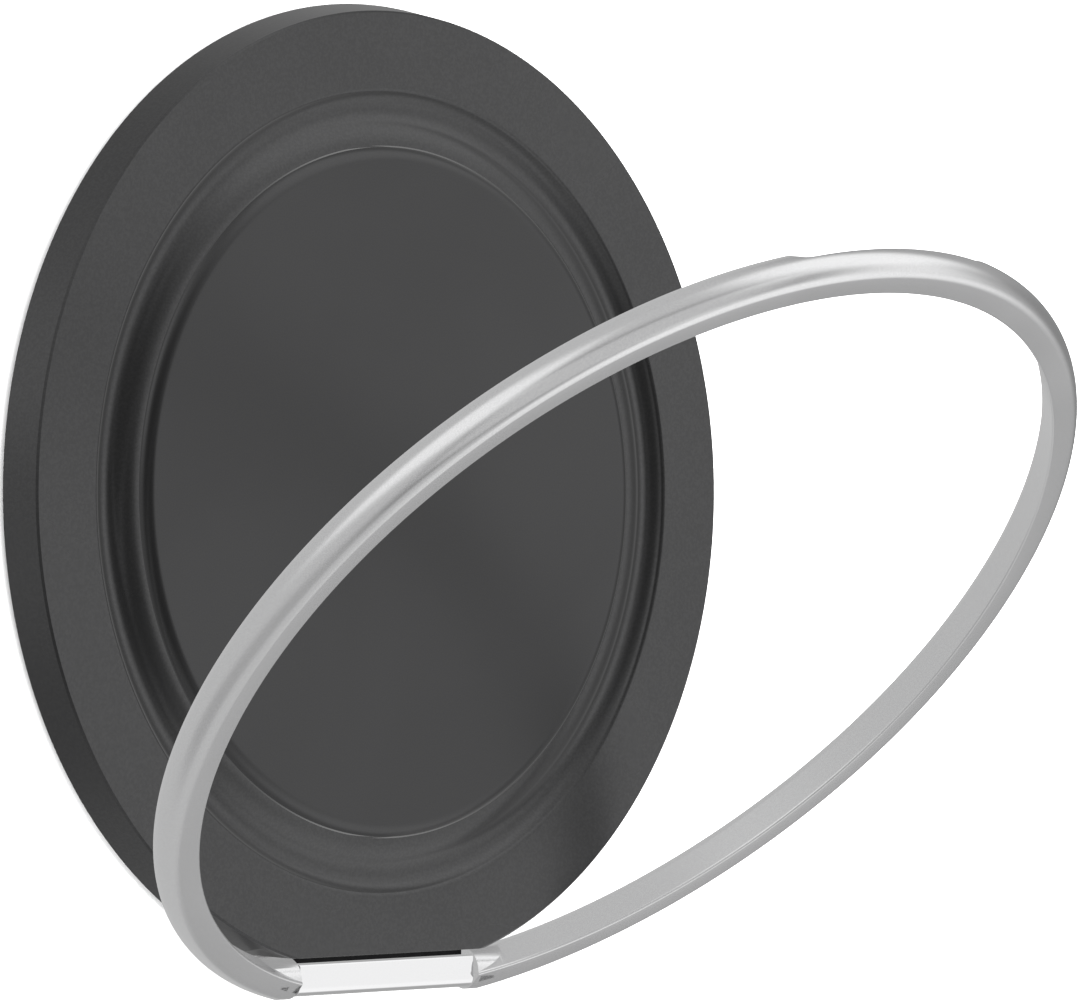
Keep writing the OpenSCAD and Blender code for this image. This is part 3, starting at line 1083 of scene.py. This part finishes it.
@dataclass
class Studio:
    """Camera, surroundings, lights and floor. Lengths are in metres, angles in degrees."""

    eye: tuple[float, float, float] = (-0.3637379, -0.0000467, 0.3631991)
    right: tuple[float, float, float] = (0.69154977, -0.00130027, 0.72232764)
    up: tuple[float, float, float] = (0.00163913, 0.99999863, 0.00023082)
    back: tuple[float, float, float] = (-0.72232695, 0.00102437, 0.69155095)
    lens: float = 292.0
    floor_level: float = 0.92
    floor_change: float = 0.01
    floor_half: float = 3.0
    fill_level: float = 8.0
    fill_angle: float = 160.0
    ambient: float = 0.6
    lamp_size: tuple[float, float] = (2.0, 1.6)
    lamp_away: float = 1.5
    lamp_turn: float = -12.0
    lamp_level: float = 0.45
    boxes: tuple[SoftBox, ...] = (
        SoftBox((12.0, 76.0), (18.0, 72.0), 0.55),
        SoftBox((12.0, 76.0), (-55.0, -20.0), 0.48),
        SoftBox((37.0, 61.0), (-20.0, 20.0), 0.42),
        SoftBox((-116.0, -45.0), (12.0, 62.0), 0.45),
        SoftBox((-50.0, 27.0), (-34.0, 34.0), -0.42),
        SoftBox((68.0, 140.0), (-16.0, 16.0), -0.16),
        SoftBox((80.0, 130.0), (-60.0, 60.0), -0.17),
        SoftBox((-140.0, -30.0), (-65.0, -28.0), -0.15),
    )

    def camera(self) -> None:
        """Place the camera at the photograph's viewpoint."""
        data = bpy.data.cameras.new("camera")
        data.sensor_fit = "HORIZONTAL"
        data.sensor_width = 36.0
        data.lens = self.lens
        data.clip_start, data.clip_end = 0.01, 20.0
        camera = bpy.data.objects.new("camera", data)
        turn = Matrix((self.right, self.up, self.back)).transposed()
        camera.matrix_world = Matrix.Translation(self.eye) @ turn.to_4x4()
        bpy.context.scene.collection.objects.link(camera)
        bpy.context.scene.camera = camera

    def surroundings(self) -> None:
        """Build the world: an even grey with brighter and darker soft patches at fixed directions."""
        world = bpy.data.worlds.new("studio")
        world.use_nodes = True
        bpy.context.scene.world = world
        graph = Graph(world.node_tree)
        where = graph.add("ShaderNodeSeparateXYZ")
        graph.link(graph.add("ShaderNodeTexCoord").outputs["Generated"], where.inputs[0])
        x, y, z = where.outputs
        turn = graph.math("MULTIPLY", graph.math("ARCTAN2", x, z), 180 / math.pi)
        rise = graph.math("MULTIPLY", graph.math("ARCSINE", y), 180 / math.pi)
        total: float | bpy.types.NodeSocket = self.ambient
        for box in self.boxes:
            parts = []
            for value, ends, soft in zip((turn, rise), (box.turn, box.rise), box.feather):
                parts.append(graph.ramp(value, ends[0] - soft, ends[0] + soft))
                parts.append(graph.ramp(value, ends[1] - soft, ends[1] + soft, (1.0, 0.0)))
            mask = parts[0]
            for part in parts[1:]:
                mask = graph.math("MULTIPLY", mask, part)
            total = graph.math("MULTIPLY_ADD", mask, box.level, total)
        background = world.node_tree.nodes["Background"]
        graph.link(total, background.inputs["Strength"])
        background.inputs["Color"].default_value = (1.0, 1.0, 1.0, 1.0)

    def fill(self) -> None:
        """Hang a wide lamp that lights the floor and soft parts without showing in the metal."""
        data = bpy.data.lights.new("fill", "SUN")
        data.energy = self.fill_level
        data.angle = math.radians(self.fill_angle)
        lamp = bpy.data.objects.new("fill", data)
        lamp.visible_glossy = False
        bpy.context.scene.collection.objects.link(lamp)

    def ring_light(self, ring: bpy.types.Object) -> None:
        """Hang a broad soft lamp over the dark part of the surroundings that lights only the ring.

        Args:
            ring: The ring.
        """
        width, height = self.lamp_size
        data = bpy.data.lights.new("ring_light", "AREA")
        data.shape = "RECTANGLE"
        data.size, data.size_y = width, height
        data.energy = self.lamp_level * math.pi * width * height
        lamp = bpy.data.objects.new("ring_light", data)
        turn = rotation_at("Y", self.lamp_turn, Vector())
        lamp.matrix_world = turn @ Matrix.Translation((0.0, 0.0, self.lamp_away))
        lamp.visible_camera = False
        lit = bpy.data.collections.new("lit by the ring light")
        lit.objects.link(ring)
        lamp.light_linking.receiver_collection = lit
        bpy.context.scene.collection.objects.link(lamp)

    def floor(self) -> None:
        """Lay the plain pale floor under the pad."""
        bm = bmesh.new()
        bmesh.ops.create_grid(bm, x_segments=1, y_segments=1, size=self.floor_half)
        floor = to_object(bm, "floor")
        material = bpy.data.materials.new("pale_floor")
        material.use_nodes = True
        graph = Graph(material.node_tree)
        shader = material.node_tree.nodes["Principled BSDF"]
        shader.inputs["Specular IOR Level"].default_value = 0.0
        shader.inputs["Roughness"].default_value = 1.0
        slow = graph.add("ShaderNodeTexNoise")
        graph.link(graph.add("ShaderNodeTexCoord").outputs["Object"], slow.inputs["Vector"])
        slow.inputs["Scale"].default_value = 3.0
        low, high = (self.floor_level - self.floor_change,) * 3, (self.floor_level,) * 3
        graph.link(graph.blend(slow.outputs["Fac"], low, high), shader.inputs["Base Color"])
        floor.data.materials.append(material)
        floor.visible_glossy = False

    def build(self) -> None:
        """Set up the whole studio, with plain tones."""
        self.camera()
        self.surroundings()
        self.fill()
        self.floor()
        bpy.context.scene.view_settings.view_transform = "Standard"


# Everything together


def dress_inner_nodes() -> None:
    """Give every CAD node that stays its finish, and keep it out of the ring's reflections."""
    finishes = {
        "cap_film": FILM_FINISH,
        "pad_film": FILM_FINISH,
        "shield_plate": SHIELD_FINISH,
        "magnet_carrier": CARRIER_FINISH,
        "tongue_screws": SCREW_FINISH,
        "friction_sleeve": SPRING_FINISH,
        "hinge_pin": PIN_FINISH,
        "magnet_": NICKEL_FINISH,
    }
    made: dict[str, bpy.types.Material] = {}
    for name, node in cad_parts.items():
        for start, finish in finishes.items():
            if name.startswith(start):
                if finish.name not in made:
                    made[finish.name] = finish.make()
                node.data.materials.clear()
                node.data.materials.append(made[finish.name])
                node.visible_glossy = False
                LOG.info("%s: %s", name, finish.name)
                break


def main() -> None:
    """Build the studio and the grip, piece by piece."""
    logging.basicConfig(level=logging.INFO, format="%(message)s")
    for name in ("Cube", "Light", "Camera"):
        if name in bpy.data.objects:
            bpy.data.objects.remove(bpy.data.objects[name])
    studio = Studio()
    studio.build()
    disc, hinge, ring = Disc(), Hinge(), Ring()
    disc.housing(HOUSING_FINISH.make(), hinge.tongue(hinge.tongue_fit))
    disc.cap(CAP_FINISH.make())
    disc.cover(COVER_FINISH.make())
    disc.pad(PAD_FINISH.make())
    hinge.barrel(BARREL_FINISH.make(), TONGUE_PAINTED_SHADE_FINISH.make())
    studio.ring_light(ring.hoop(RING_FINISH.make()))
    dress_inner_nodes()


if __name__ == "__main__":
    main()
